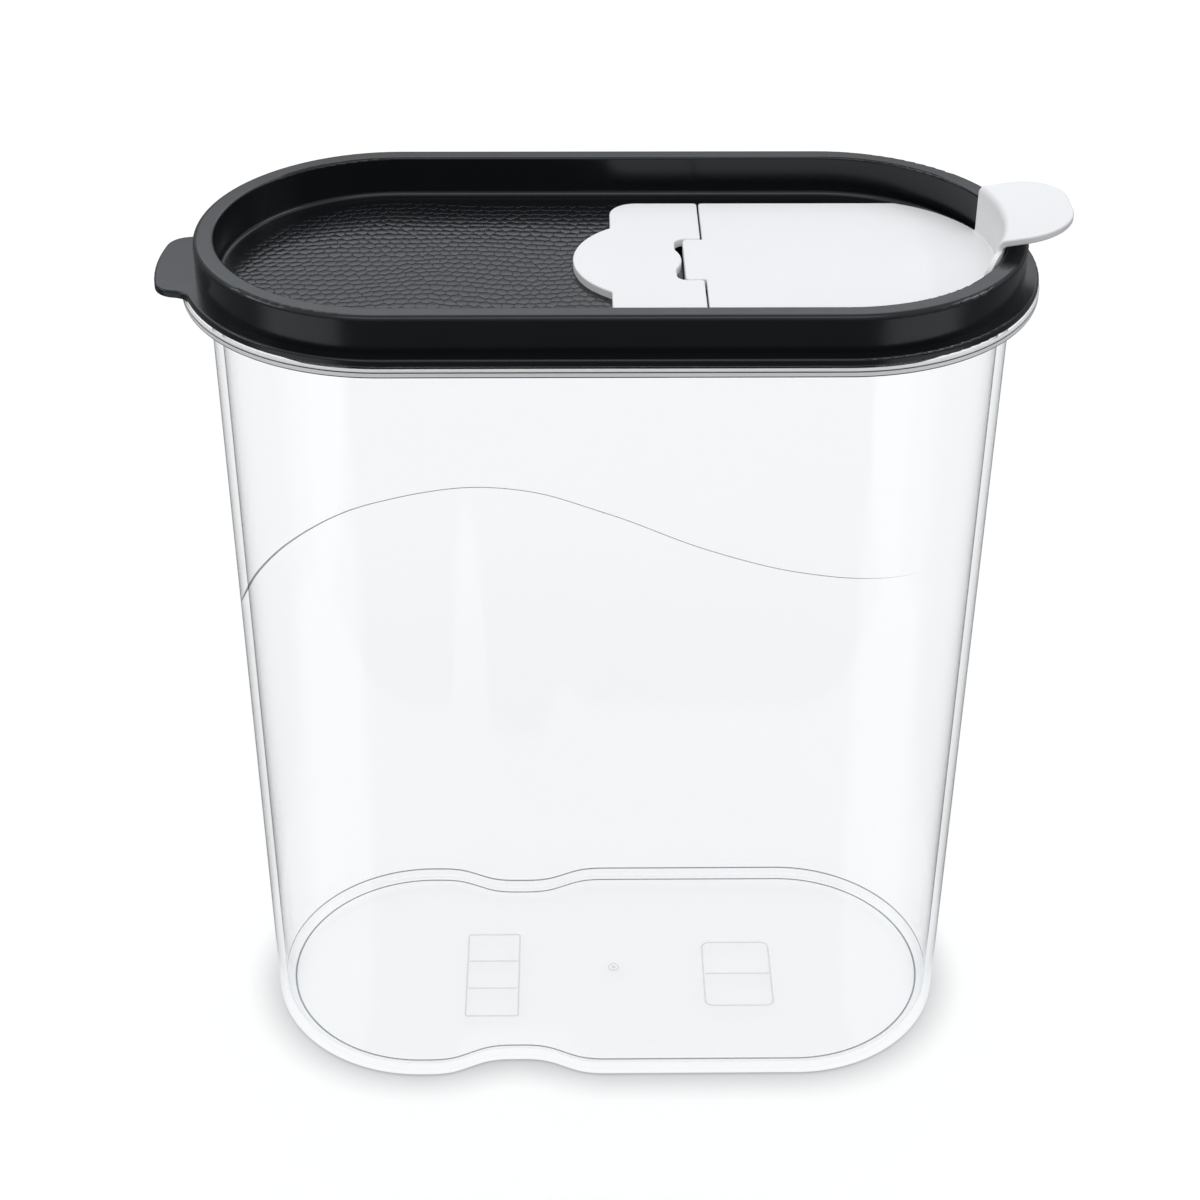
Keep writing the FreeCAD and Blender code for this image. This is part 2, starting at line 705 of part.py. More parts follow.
def make_pour_flap():
    plate = round_ended_slab("flap_plate", "flap_left", "flap_half_width", "flap_end_radius",
                             "flap_bottom", "plate_top")
    tongue = box("tongue", ("tongue_left", "-tongue_half_width", "hinge_height - knuckle_radius"),
                 ("flap_left + flap_edge", "tongue_half_width", "plate_top"))
    tongue_x, seam_x = value("tongue_left"), value("flap_left")
    tongue = rounded("tongue_corners", tongue,
                     lambda edge: upright(edge) and near(middle(edge).x, tongue_x), "tongue_corner")
    plate = rounded("flap_seam_corners", plate, lambda edge: upright(edge) and near(middle(edge).x, seam_x),
                    "seam_corner")
    plate_top = value("plate_top")
    plate = rounded("flap_edges", fuse("flap_outline", plate, tongue),
                    lambda edge: level_at(edge, plate_top), "flap_edge")
    bore = rod_across("tongue_bore", "hinge_position", "hinge_height",
                      "pin_radius + pin_running_clearance", "cheek_end")
    plate = cut("flap_bored", plate, bore)
    lip_half = "opening_half_width - lip_clearance"
    lip_radius = "opening_end_radius - lip_clearance"
    lip_foot, lip_head = "tray_floor - lip_depth", "flap_bottom + flap_edge"
    lip = round_ended_slab("lip_block", "opening_left + lip_clearance", lip_half, lip_radius,
                           lip_foot, lip_head)
    lip_left = value("opening_left + lip_clearance")
    lip = rounded("lip_corners", lip, lambda edge: upright(edge) and near(middle(edge).x, lip_left),
                  "opening_corner")
    hollow = round_ended_slab(
        "lip_hollow", "opening_left + lip_clearance + lip_wall", lip_half + " - lip_wall",
        lip_radius + " - lip_wall", lip_foot + " - lip_wall", lip_head + " + lip_wall")
    hollow_left = value("opening_left + lip_clearance + lip_wall")
    hollow = rounded("lip_hollow_corners", hollow,
                     lambda edge: upright(edge) and near(middle(edge).x, hollow_left),
                     "opening_corner - lip_wall")
    flap = fuse("pour_flap", plate, make_thumb_tab(), cut("lip", lip, hollow))
    flap.Label = "pour_flap"
    return flap


pieces = [
    make_container_body(),
    make_lid(),
    make_lid_seal(),
    make_hinge_plate(),
    make_hinge_pin(),
    make_pour_flap(),
]
doc.recompute()

for thing in doc.Objects:
    if "Invalid" in thing.State or "Error" in thing.State:
        raise RuntimeError("%s failed: %s" % (thing.Name, thing.State))
os.makedirs("parts", exist_ok=True)
for piece in pieces:
    if piece.Shape.isNull() or not piece.Shape.isValid():
        raise RuntimeError(piece.Label + " has no valid shape")
    if len(piece.Shape.Solids) != 1:
        raise RuntimeError("%s has %d solids" % (piece.Label, len(piece.Shape.Solids)))
for piece in pieces:
    piece.Shape.exportStep("parts/%s.step" % piece.Label)
    size = piece.Shape.optimalBoundingBox(False)
    print("%-15s volume %9.0f  x %7.2f %7.2f  y %7.2f %7.2f  z %7.2f %7.2f" % (
        piece.Label, piece.Shape.Volume, size.XMin, size.XMax, size.YMin, size.YMax, size.ZMin, size.ZMax))
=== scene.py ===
import math
import random

import bpy
import numpy as np
from mathutils import Matrix, Vector


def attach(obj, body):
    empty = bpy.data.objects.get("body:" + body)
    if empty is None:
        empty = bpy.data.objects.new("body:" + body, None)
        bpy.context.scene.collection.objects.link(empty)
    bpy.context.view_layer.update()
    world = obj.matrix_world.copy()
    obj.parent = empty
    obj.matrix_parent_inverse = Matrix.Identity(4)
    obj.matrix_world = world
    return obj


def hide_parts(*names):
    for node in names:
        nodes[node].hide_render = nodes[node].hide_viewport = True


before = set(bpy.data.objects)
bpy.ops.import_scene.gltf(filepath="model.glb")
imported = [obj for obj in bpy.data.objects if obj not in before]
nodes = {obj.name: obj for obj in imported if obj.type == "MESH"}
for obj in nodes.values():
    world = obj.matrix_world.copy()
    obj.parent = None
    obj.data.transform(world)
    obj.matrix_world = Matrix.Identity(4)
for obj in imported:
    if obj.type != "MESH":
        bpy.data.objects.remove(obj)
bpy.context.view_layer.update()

MM = 0.001
QUARTER = math.pi / 2
SHARP_ANGLE = 40

# The body's form, in millimetres, as in the CAD
HALF_SPACING = 60.0
BODY_HEIGHT = 259.1
TOP_RADIUS = 50.0
BASE_RADIUS = 49.0
MEAN_RADIUS = (TOP_RADIUS + BASE_RADIUS) / 2
WALL = 2.5
FLOOR = 2.2
BASE_ROUND = 2.0
BASE_FILLET = 2.5
RIM_RADIUS = 57.05
MOUTH_EDGE = 0.5
DENT_DEPTH = 6.5
DENT_CENTRE = -29.0
DENT_STEP = 10.0

# The rim's rounded edges and the corner under it
RIM_EDGE = 0.5
RIM_CORNER = 0.5

# The rim's moulded beads: depth below the top, set back from the rim's radius, and look up to the next depth.
# The looks are painted: painted light on the beads and painted shade along the groove
RIM_BEADS = [(2.1, 0.0, "rim_painted_light"), (1.05, 0.0, "rim_painted_shade"), (0.95, 0.2, "rim_painted_shade"), (0.8, 0.2, "rim_painted_shade"),
             (0.7, 0.0, "rim_painted_light")]
RIM_THICKNESS = RIM_BEADS[0][0] + RIM_EDGE

# The height of the floor of the lid's tray
TRAY_FLOOR = 260.4


def add_object(name, data):
    thing = bpy.data.objects.new(name, data)
    bpy.context.scene.collection.objects.link(thing)
    return thing


def make_piece(name, vertices, faces, material, body, sharp_angle=SHARP_ANGLE):
    """A smooth mesh from millimetre vertices that rides on a body."""
    mesh = bpy.data.meshes.new(name)
    mesh.from_pydata([Vector(v) * MM for v in vertices], [], faces)
    mesh.validate()
    mesh.shade_smooth()
    mesh.set_sharp_from_angle(angle=math.radians(sharp_angle))
    mesh.materials.append(material)
    piece = add_object(name, mesh)
    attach(piece, body)
    return piece


def bridge(count, here, after):
    """Faces between two closed rings of count vertices, whose first vertices are here and after."""
    faces = []
    for corner in range(count):
        turn = (corner + 1) % count
        faces.append((here + corner, here + turn, after + turn, after + corner))
    return faces


def arc_steps(count):
    """Angles from nothing to a quarter turn."""
    return [QUARTER * step / count for step in range(count + 1)]


def smooth_share(low, high, number):
    """From 0 at low to 1 at high, level at both ends."""
    u = np.clip((number - low) / (high - low), 0, 1)
    return u * u * (3 - 2 * u)


# Materials
class Nodes:
    """Short ways to add and join a material's or world's shader nodes."""

    def __init__(self, owner):
        owner.use_nodes = True
        self.tree = owner.node_tree
        self.tree.nodes.clear()

    def add(self, kind, **settings):
        node = self.tree.nodes.new(kind)
        for key, setting in settings.items():
            setattr(node, key, setting)
        return node

    def join(self, source, target):
        """Join a socket to the target, or set the target to a plain number."""
        if isinstance(source, (int, float)):
            target.default_value = source
        else:
            self.tree.links.new(source, target)

    def show(self, surface, kind="ShaderNodeOutputMaterial"):
        """Give the material or world its surface."""
        self.join(surface, self.add(kind).inputs["Surface"])

    def place(self, coordinate):
        """The x, y and z of the point that is shaded."""
        split = self.add("ShaderNodeSeparateXYZ")
        self.join(self.add("ShaderNodeTexCoord").outputs[coordinate], split.inputs["Vector"])
        return split.outputs

    def noise(self, scale, detail):
        place = self.add("ShaderNodeTexCoord")
        texture = self.add("ShaderNodeTexNoise")
        self.join(scale, texture.inputs["Scale"])
        self.join(detail, texture.inputs["Detail"])
        self.join(place.outputs["Object"], texture.inputs["Vector"])
        return texture.outputs["Fac"]

    def spread(self, source, low, high):
        """The source from 0 to 1 moved to low to high."""
        node = self.add("ShaderNodeMapRange")
        for name, number in (("To Min", low), ("To Max", high)):
            self.join(number, node.inputs[name])
        self.join(source, node.inputs["Value"])
        return node.outputs["Result"]

    def ramp(self, source, start, stop, low, high):
        """A smooth change from low to high while the source goes from start to stop."""
        node = self.add("ShaderNodeMapRange", interpolation_type="SMOOTHSTEP")
        for name, number in (("From Min", start), ("From Max", stop), ("To Min", low), ("To Max", high)):
            self.join(number, node.inputs[name])
        self.join(source, node.inputs["Value"])
        return node.outputs["Result"]

    def colours(self, source, low, high):
        ramp = self.add("ShaderNodeValToRGB")
        ramp.color_ramp.elements[0].color = (*low, 1.0)
        ramp.color_ramp.elements[1].color = (*high, 1.0)
        self.join(source, ramp.inputs["Fac"])
        return ramp.outputs["Color"]

    def bump(self, source, distance, strength):
        node = self.add("ShaderNodeBump")
        self.join(distance, node.inputs["Distance"])
        self.join(strength, node.inputs["Strength"])
        self.join(source, node.inputs["Height"])
        return node.outputs["Normal"]

    def calculate(self, operation, *sources):
        """One step of arithmetic on sockets and plain numbers."""
        node = self.add("ShaderNodeMath", operation=operation)
        for source, target in zip(sources, node.inputs):
            self.join(source, target)
        return node.outputs["Value"]

    def greatest(self, *sources):
        result = sources[0]
        for source in sources[1:]:
            result = self.calculate("MAXIMUM", result, source)
        return result

    def mix(self, share, first, second):
        """The first shader, giving way to the second by a share."""
        node = self.add("ShaderNodeMixShader")
        self.join(share, node.inputs["Fac"])
        self.join(first, node.inputs[1])
        self.join(second, node.inputs[2])
        return node.outputs["Shader"]


# Scales of the plastics' colour clouds and gloss patches, how far the gloss varies, and the grain's strength
CLOUD_SCALE = 60.0
GLOSS_SCALE = 240.0
GLOSS_SPREAD = 0.05
GRAIN_STRENGTH = 0.4

# How sharply the clear plastic's shine grows towards a glancing angle, its shine face on, and a plain angle
GLANCE_POWER = 9.5
FACE_SHINE = 0.026
EVEN_BLEND = 0.5

# Scales of the clear plastic's tint, gloss and haze, and the haze's deepest patches and roughness
TINT_SCALE = 25.0
CLEAR_GLOSS_SCALE = 120.0
HAZE_SCALE = 80.0
HAZE_LOW = 0.96
HAZE_ROUGHNESS = 0.3

# What the clear plastic lets through, and what its dark lines of painted shade let through, from the deepest
# patches to the clearest
FILM = ((0.993, 0.995, 0.997), (0.996, 0.998, 1.0))
SHADE_LINE_FILM = ((0.3, 0.31, 0.33), (0.34, 0.35, 0.37))

# Scale of the streaks in the drawn pin
DRAWN_SCALE = 900.0


def plastic(name, low, high, roughness, grain, grain_depth, specular):
    """An opaque moulded plastic: mottled colour, uneven gloss and a fine moulded grain."""
    material = bpy.data.materials.new(name)
    make = Nodes(material)
    shader = make.add("ShaderNodeBsdfPrincipled")
    make.join(specular, shader.inputs["Specular IOR Level"])
    cloud = make.noise(CLOUD_SCALE, detail=4.0)
    make.join(make.colours(cloud, low, high), shader.inputs["Base Color"])
    patches = make.noise(GLOSS_SCALE, detail=3.0)
    gloss = make.spread(patches, roughness - GLOSS_SPREAD, roughness + GLOSS_SPREAD)
    make.join(gloss, shader.inputs["Roughness"])
    make.join(make.bump(make.noise(grain, detail=2.0), grain_depth, GRAIN_STRENGTH), shader.inputs["Normal"])
    make.show(shader.outputs["BSDF"])
    return material


def clear_plastic(name, film_colours, roughness, haze=0.0, haze_and_painted_colour=None):
    """Clear moulded plastic: a film that mirrors most at a glancing angle.

    It has some haze where it's frosted, and a white or near-black haze where light or shade is painted on it.
    """
    material = bpy.data.materials.new(name)
    make = Nodes(material)
    film = make.add("ShaderNodeBsdfTransparent")
    make.join(make.colours(make.noise(TINT_SCALE, detail=2.0), *film_colours), film.inputs["Color"])
    shine = make.add("ShaderNodeBsdfGlossy")
    patches = make.noise(CLEAR_GLOSS_SCALE, detail=3.0)
    make.join(make.spread(patches, roughness, roughness * 2), shine.inputs["Roughness"])
    angle = make.add("ShaderNodeLayerWeight")
    make.join(EVEN_BLEND, angle.inputs["Blend"])
    glance = make.calculate("POWER", angle.outputs["Facing"], GLANCE_POWER)
    surface = make.mix(make.spread(glance, FACE_SHINE, 1.0), film.outputs["BSDF"], shine.outputs["BSDF"])
    if haze:
        haze_and_painted_shader = make.add("ShaderNodeBsdfPrincipled")
        low = [level * HAZE_LOW for level in haze_and_painted_colour]
        cloud = make.noise(HAZE_SCALE, detail=2.0)
        make.join(make.colours(cloud, low, haze_and_painted_colour), haze_and_painted_shader.inputs["Base Color"])
        make.join(HAZE_ROUGHNESS, haze_and_painted_shader.inputs["Roughness"])
        surface = make.mix(haze, surface, haze_and_painted_shader.outputs["BSDF"])
    make.show(surface)
    return material


def steel(name, low, high):
    """Drawn wire, with streaks in its colour and gloss."""
    material = bpy.data.materials.new(name)
    make = Nodes(material)
    shader = make.add("ShaderNodeBsdfPrincipled")
    make.join(1.0, shader.inputs["Metallic"])
    drawn = make.noise(DRAWN_SCALE, detail=3.0)
    make.join(make.colours(drawn, low, high), shader.inputs["Base Color"])
    make.join(make.spread(drawn, low=0.2, high=0.35), shader.inputs["Roughness"])
    make.show(shader.outputs["BSDF"])
    return material


black = plastic("black_plastic", low=(0.0034, 0.0043, 0.0060), high=(0.0050, 0.0060, 0.0080),
                roughness=0.21, grain=2600.0, grain_depth=0.000008, specular=0.42)
white = plastic("white_plastic", low=(0.825, 0.822, 0.825), high=(0.85, 0.847, 0.85),
                roughness=0.4, grain=2200.0, grain_depth=0.00001, specular=0.4)
rubber = plastic("seal_rubber", low=(0.25, 0.25, 0.26), high=(0.33, 0.33, 0.34),
                 roughness=0.7, grain=1800.0, grain_depth=0.00003, specular=0.3)
pin_steel = steel("pin_steel", low=(0.5, 0.5, 0.51), high=(0.66, 0.66, 0.67))
clear = clear_plastic("clear_plastic", FILM, roughness=0.02)
# Dark film: painted shade, for the lines on the wave's step and at the floor's fillet
clear_shade_line = clear_plastic("clear_shade_line_plastic", SHADE_LINE_FILM, roughness=0.05)
# Painted light and painted shade on the rim: a white and a near-black haze on the clear plastic
clear_rim_painted_light = clear_plastic("clear_rim_painted_light_plastic", FILM, roughness=0.08, haze=0.93,
                           haze_and_painted_colour=(0.98, 0.98, 0.98))
clear_rim_painted_shade = clear_plastic("clear_rim_painted_shade_plastic", FILM, roughness=0.08, haze=0.97,
                             haze_and_painted_colour=(0.05, 0.051, 0.055))
frosted = clear_plastic("frosted_plastic", FILM, roughness=0.2, haze=0.08, haze_and_painted_colour=(0.95, 0.95, 0.95))

for node, material in (("lid", black), ("lid_seal", rubber), ("hinge_plate", white), ("hinge_pin", pin_steel),
                       ("pour_flap", white)):
    mesh = nodes[node].data
    mesh.materials.clear()
    mesh.materials.append(material)

# Clear body: its looks, in the order of their material slots. Besides plain clear, they are dark lines of
# painted shade and the rim's painted light and painted shade
LOOKS = {"clear": clear, "line": clear_shade_line, "rim_painted_light": clear_rim_painted_light, "rim_painted_shade": clear_rim_painted_shade}

# Points along each long side and round each end
SIDE_STEPS = 160
END_STEPS = 110

# Half the way round the body
HALF_ROUND = 2 * HALF_SPACING + math.pi * MEAN_RADIUS


def cubic_hump(u):
    """The uniform cubic B-spline, two steps wide on each side."""
    u = abs(u)
    if u < 1:
        return 2 / 3 - u * u + u ** 3 / 2
    return max(2 - u, 0) ** 3 / 6


def dent_share(x):
    """Share of the dent's depth at x along a long side."""
    return sum(cubic_hump((x - DENT_CENTRE) / DENT_STEP + shift) for shift in (-1, 0, 1))


def make_perimeter():
    """Points round the racetrack: centre x, outward normal, dent share and distance from the front's middle.

    It runs from the front's left end along the front, the right end, the back and the left end.
    """
    rows = []
    for step in range(SIDE_STEPS):
        x = HALF_SPACING * (2 * step / SIDE_STEPS - 1)
        rows.append((x, 0, -1, dent_share(x), x))
    for step in range(END_STEPS):
        angle = math.pi * step / END_STEPS - QUARTER
        distance = HALF_SPACING + MEAN_RADIUS * (angle + QUARTER)
        rows.append((HALF_SPACING, math.cos(angle), math.sin(angle), 0, distance))
    back = HALF_SPACING + math.pi * MEAN_RADIUS
    for step in range(SIDE_STEPS):
        x = HALF_SPACING * (1 - 2 * step / SIDE_STEPS)
        rows.append((x, 0, 1, dent_share(x), back + HALF_SPACING - x))
    for step in range(END_STEPS):
        angle = math.pi * step / END_STEPS + QUARTER
        distance = MEAN_RADIUS * (angle - QUARTER) - HALF_SPACING - math.pi * MEAN_RADIUS
        rows.append((-HALF_SPACING, math.cos(angle), math.sin(angle), 0, distance))
    return np.array(rows, float)


CENTRE_X, NORMAL_X, NORMAL_Y, DENT, DISTANCE = make_perimeter().T


def wall_loop(inset, height, outward=0.0):
    """One ring of the body's form, drawn in by inset, at a height that may vary round the ring."""
    height = np.broadcast_to(np.asarray(height, float), CENTRE_X.shape)
    share = height / BODY_HEIGHT
    radius = BASE_RADIUS + (TOP_RADIUS - BASE_RADIUS) * share - inset + outward
    radius = radius - DENT * DENT_DEPTH * (1 - np.minimum(share, 1))
    return np.stack([CENTRE_X + NORMAL_X * radius, NORMAL_Y * radius, height], axis=1)


def plain_loop(radius, height):
    """One ring at a fixed distance from the line between the end centres."""
    level = np.full(CENTRE_X.shape, height)
    return np.stack([CENTRE_X + NORMAL_X * radius, NORMAL_Y * radius, level], axis=1)


# The wave: a fine moulded step across the front, as distance from the front's middle and height
WAVE = [(-175, 140), (-117.5, 165.7), (-104, 182), (-89.6, 197.6), (-70.4, 212.4), (-55, 217.6),
        (-37.4, 219.6), (-19.4, 217.6), (0, 211.2), (23.7, 200.9), (45, 194), (70.8, 189.8), (96.6, 186.2),
        (117, 181.4), (175, 165)]
WAVE_BACK = 150.0

# Distances over which the step comes up out of the wall at the left and goes back into it at the right
WAVE_START = (-128, -112)
WAVE_END = (60, 92)

# The step stands out over a short rise and fades into the wall above it
STEP_HEIGHT = 0.55
STEP_RISE = 0.3
STEP_FADE = 16.0

# Width of the line of painted shade at each edge of the fillet round the inside of the floor
FILLET_LINE = 0.6

# The upper line of painted shade thins out while the wall's outward y goes from the second of these to the
# first
LINE_TAPER = (-0.7, 0.1)

# Rings of the flat underside and floor, by their distance inside the rounded edge
BASE_INSETS = (8, 2, 0.3)
FLOOR_INSETS = (FILLET_LINE, 2, 8)

# A line keeps this share of its width where it has faded, so that its rings stay apart
LEAST_SHARE = 0.02

# Rings of the outer wall below the step, in it, in its fade and above it, and rings of the inner wall
LOWER_RINGS = 24
STEP_RINGS = 6
FADE_RINGS = 16
UPPER_RINGS = 24
INSIDE_RINGS = 47


def wave_height(distance):
    """A smooth curve through the wave's points, level round the back."""
    knots = [(-HALF_ROUND, WAVE_BACK)] + WAVE + [(HALF_ROUND, WAVE_BACK)]
    at = np.array([knot[0] for knot in knots], float)
    height = np.array([knot[1] for knot in knots], float)
    slope = np.gradient(height, at)
    slope[0] = slope[-1] = 0
    index = np.clip(np.searchsorted(at, distance) - 1, 0, len(at) - 2)
    width = at[index + 1] - at[index]
    u = (distance - at[index]) / width
    return ((2 * u ** 3 - 3 * u ** 2 + 1) * height[index] + (u ** 3 - 2 * u ** 2 + u) * width * slope[index]
            + (3 * u ** 2 - 2 * u ** 3) * height[index + 1] + (u ** 3 - u ** 2) * width * slope[index + 1])


def base_rows():
    """Rings of the underside and the rounded edge of the base."""
    rows = [(wall_loop(BASE_ROUND + inset, 0), "clear") for inset in BASE_INSETS]
    for angle in arc_steps(10):
        loop = wall_loop(BASE_ROUND * (1 - math.sin(angle)), BASE_ROUND * (1 - math.cos(angle)))
        rows.append((loop, "clear"))
    return rows


def outer_wall_rows(bottom, top):
    """Rings of the outer wall that follow the wave."""
    wave = wave_height(DISTANCE)
    share = smooth_share(*WAVE_START, DISTANCE) * (1 - smooth_share(*WAVE_END, DISTANCE))
    rise = STEP_RISE * np.maximum(share, LEAST_SHARE)
    rows = []
    for u in np.linspace(0, 1, LOWER_RINGS, endpoint=False):
        rows.append((wall_loop(0, bottom + (wave - rise - bottom) * u), "clear"))
    # The step's rings carry a dark line of painted shade
    for u in np.linspace(0, 1, STEP_RINGS, endpoint=False):
        outward = share * STEP_HEIGHT * smooth_share(0, 1, u)
        rows.append((wall_loop(0, wave + rise * (2 * u - 1), outward), "line"))
    for u in np.linspace(0, 1, FADE_RINGS, endpoint=False):
        above = rise * (1 - u) + STEP_FADE * u
        outward = share * STEP_HEIGHT * (1 - smooth_share(0, 1, u))
        rows.append((wall_loop(0, wave + above, outward), "clear"))
    for u in np.linspace(0, 1, UPPER_RINGS + 1):
        rows.append((wall_loop(0, wave + STEP_FADE + (top - wave - STEP_FADE) * u), "clear"))
    return rows


def rim_rows(rim_bottom):
    """Rings of the corner under the rim, the rim's lower edge, its beads and its upper edge. The lower edge
    and the groove take painted shade, the beads and the upper edge painted light.
    """
    rows = []
    for angle in arc_steps(4)[1:]:
        loop = plain_loop(TOP_RADIUS + RIM_CORNER * (1 - math.cos(angle)),
                          rim_bottom - RIM_CORNER * (1 - math.sin(angle)))
        rows.append((loop, "clear"))
    for angle in arc_steps(6)[:-1]:
        loop = plain_loop(RIM_RADIUS - RIM_EDGE * (1 - math.sin(angle)),
                          rim_bottom + RIM_EDGE * (1 - math.cos(angle)))
        rows.append((loop, "rim_painted_shade"))
    for depth, set_back, look in RIM_BEADS:
        rows.append((plain_loop(RIM_RADIUS - set_back, BODY_HEIGHT - depth), look))
    for angle in arc_steps(6):
        loop = plain_loop(RIM_RADIUS - RIM_EDGE * (1 - math.cos(angle)),
                          BODY_HEIGHT - RIM_EDGE * (1 - math.sin(angle)))
        rows.append((loop, "rim_painted_light"))
    # From here to the mouth, the rim's flat top is clear
    rows[-1] = (loop, "clear")
    return rows


def inner_wall_rows():
    """Rings of the mouth's edge, the inner wall, the fillet between its two lines of painted shade and the
    floor.
    """
    rows = []
    mouth = TOP_RADIUS - WALL
    for angle in arc_steps(5):
        loop = plain_loop(mouth + MOUTH_EDGE * (1 - math.sin(angle)),
                          BODY_HEIGHT - MOUTH_EDGE * (1 - math.cos(angle)))
        rows.append((loop, "clear"))
    fillet_top = FLOOR + BASE_FILLET
    lowest = fillet_top + 2 * FILLET_LINE
    for height in np.linspace(BODY_HEIGHT - MOUTH_EDGE, lowest, INSIDE_RINGS + 1)[1:]:
        rows.append((wall_loop(WALL, height), "clear"))
    line_share = np.maximum(smooth_share(*LINE_TAPER, NORMAL_Y), LEAST_SHARE)
    rows.append((wall_loop(WALL, fillet_top + FILLET_LINE * line_share), "line"))
    for angle in arc_steps(10):
        loop = wall_loop(WALL + BASE_FILLET * (1 - math.cos(angle)),
                         FLOOR + BASE_FILLET * (1 - math.sin(angle)))
        rows.append((loop, "clear"))
    # The lower line of painted shade lies on the floor, beside the fillet
    rows[-1] = (loop, "line")
    rows += [(wall_loop(WALL + BASE_FILLET + inset, FLOOR), "clear") for inset in FLOOR_INSETS]
    return rows


def make_container_body():
    """One skin from under the base, up the outside, over the rim and down to the floor.

    Each ring has the look of the faces between it and the next ring.
    """
    rim_bottom = BODY_HEIGHT - RIM_THICKNESS
    rows = base_rows()
    # The wall's first ring is the base's last
    rows += outer_wall_rows(BASE_ROUND, rim_bottom - RIM_CORNER)[1:]
    rows += rim_rows(rim_bottom)
    rows += inner_wall_rows()
    count = len(CENTRE_X)
    faces = [list(range(count))[::-1]]
    face_looks = ["clear"]
    for ring, (_, look) in enumerate(rows[:-1]):
        faces += bridge(count, ring * count, (ring + 1) * count)
        face_looks += [look] * count
    last = (len(rows) - 1) * count
    faces.append([last + here for here in range(count)])
    face_looks.append("clear")
    vertices = np.concatenate([loop for loop, _ in rows])
    piece = make_piece("clear_body", vertices, faces, LOOKS["clear"], "container")
    order = list(LOOKS)
    for look in order[1:]:
        piece.data.materials.append(LOOKS[look])
    for face, look in zip(piece.data.polygons, face_looks):
        face.material_index = order.index(look)
    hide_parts("container_body")


make_container_body()

# Raised marks on the inside of the floor, left blank: their ribs' width, the top's share of it, and heights
RIB_WIDTH = 0.5
RIB_TOP = 0.55
RIB_LIFT = 0.02
FRAME_HEIGHT = 0.22
DIVIDER_HEIGHT = 0.2

# The frames: left, right, front, back, corner radius and number of cells
FRAMES = ((-46.4, -29.1, -23.9, 15.2, 0.8, 3), (32.6, 55.0, -19.6, 10.8, 2.5, 2))
CORNER_STEPS = 6

# The moulding gate's ring and dot: radius, number of points, width and height
GATE_PLACE = (2.5, -1.0)
GATE_RINGS = ((1.6, 32, 0.4, 0.2), (0.4, 16, 0.5, 0.25))


def rib(points, width, height, closed):
    """A low bar with sloping sides along a line on the floor."""
    section = ((-1, 1.0, RIB_LIFT), (-1, RIB_TOP, height), (1, RIB_TOP, height), (1, 1.0, RIB_LIFT))
    size = len(section)
    vertices, faces = [], []
    count = len(points)
    for index, point in enumerate(points):
        before = points[index - 1] if closed or index else point
        after = points[(index + 1) % count] if closed or index < count - 1 else point
        along = (Vector(after) - Vector(before)).normalized()
        across = Vector((-along.y, along.x)) * width / 2
        for side, share, level in section:
            vertices.append((point[0] + across.x * side * share, point[1] + across.y * side * share,
                             FLOOR + level))
    for index in range(count if closed else count - 1):
        after = (index + 1) % count
        faces += bridge(size, index * size, after * size)
    if not closed:
        faces += [tuple(range(size))[::-1], tuple((count - 1) * size + corner for corner in range(size))]
    return vertices, faces


def rounded_frame(left, right, front, back, radius):
    points = []
    corners = ((right - radius, front + radius, -90), (right - radius, back - radius, 0),
               (left + radius, back - radius, 90), (left + radius, front + radius, 180))
    for x, y, start in corners:
        for step in range(CORNER_STEPS + 1):
            angle = math.radians(start + 90 / CORNER_STEPS * step)
            points.append((x + radius * math.cos(angle), y + radius * math.sin(angle)))
    return points


def ring_points(x, y, radius, count):
    turns = [2 * math.pi * step / count for step in range(count)]
    return [(x + radius * math.cos(turn), y + radius * math.sin(turn)) for turn in turns]


def make_floor_marks():
    """Two blank frames divided into cells, and the round mark of the moulding gate."""
    ribs = []
    for left, right, front, back, radius, cells in FRAMES:
        ribs.append(rib(rounded_frame(left, right, front, back, radius), RIB_WIDTH, FRAME_HEIGHT, True))
        for cell in range(1, cells):
            y = front + (back - front) * cell / cells
            divider = [(left + RIB_WIDTH, y), (right - RIB_WIDTH, y)]
            ribs.append(rib(divider, RIB_WIDTH, DIVIDER_HEIGHT, False))
    for radius, count, width, height in GATE_RINGS:
        ribs.append(rib(ring_points(*GATE_PLACE, radius, count), width, height, True))
    vertices, faces = [], []
    for points, sides in ribs:
        faces += [tuple(corner + len(vertices) for corner in side) for side in sides]
        vertices += points
    make_piece("floor_marks", vertices, faces, frosted, "container")


make_floor_marks()

# Pebbled floor of the tray: the cells' size, the shake of their corners, and the lowest share of their height
CELL_WIDTH = 3.1
CELL_DEPTH = 2.75
CELL_HEIGHT = 0.1
CELL_SHAKE = 0.5
CELL_LOWEST = 0.85
CELL_SHARP_ANGLE = 80
CELL_SEED = 7

# A cell's rings: inset from its outline, and share of its height. An inset stays short of the cell's centre.
CELL_RINGS = ((0.06, -0.02), (0.13, 0.8), (0.26, 1.0))
CELL_MOST_INSET = 0.8

# Corners that fall on the same point of a grid, with this many steps to a millimetre, are one corner
CORNER_GRID = 20

# The cells reach out to a radius, fade towards it, and end a little way under the hinge plate
TEXTURE_RADIUS = 44.5
TEXTURE_FADE = 5.0
LEAST_FADE = 0.05
TEXTURE_END = 8.0
PLATE_HALF_WIDTH = 36.6
PLATE_OVERLAP = 1.5
LOBE_CENTRE = 14.03
LOBE_RADIUS = 24.43


def tray_distance(x, y):
    """How far a point of the tray is from the line between the end centres."""
    return math.hypot(max(abs(x) - HALF_SPACING, 0), y)


